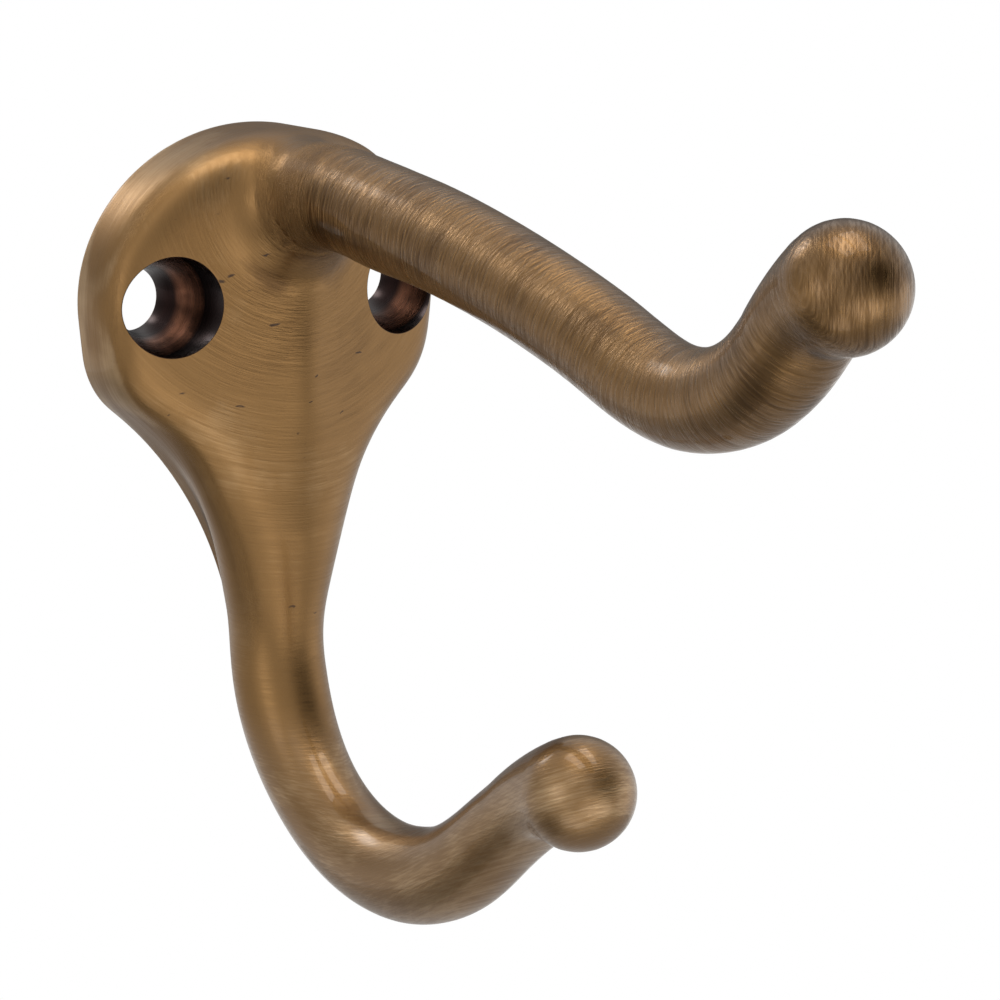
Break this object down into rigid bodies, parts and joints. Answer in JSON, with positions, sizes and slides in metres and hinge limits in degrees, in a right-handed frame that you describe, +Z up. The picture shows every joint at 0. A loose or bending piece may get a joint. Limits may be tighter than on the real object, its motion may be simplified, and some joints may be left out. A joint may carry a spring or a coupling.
{
  "type": "hat and coat hook",
  "caption": "Cast brass wall hook with a waisted screw plate, a long upturned upper arm for a hat and a shorter round lower hook for a coat, both ending in ball-like knobs.",
  "frame": {"origin": "midway between the two screw holes, on the flat back that lies on the wall", "axes": "+X to the right along the wall, +Y into the wall, +Z up, so the arms reach out along -Y"},
  "size_m": [0.0368, 0.0935, 0.0715],
  "materials": {
    "antique_brass": "brushed antique brass with a brown patina under clear lacquer"
  },
  "bodies": {
    "root": {"coat_hook": "antique_brass"}
  },
  "joints": []
}
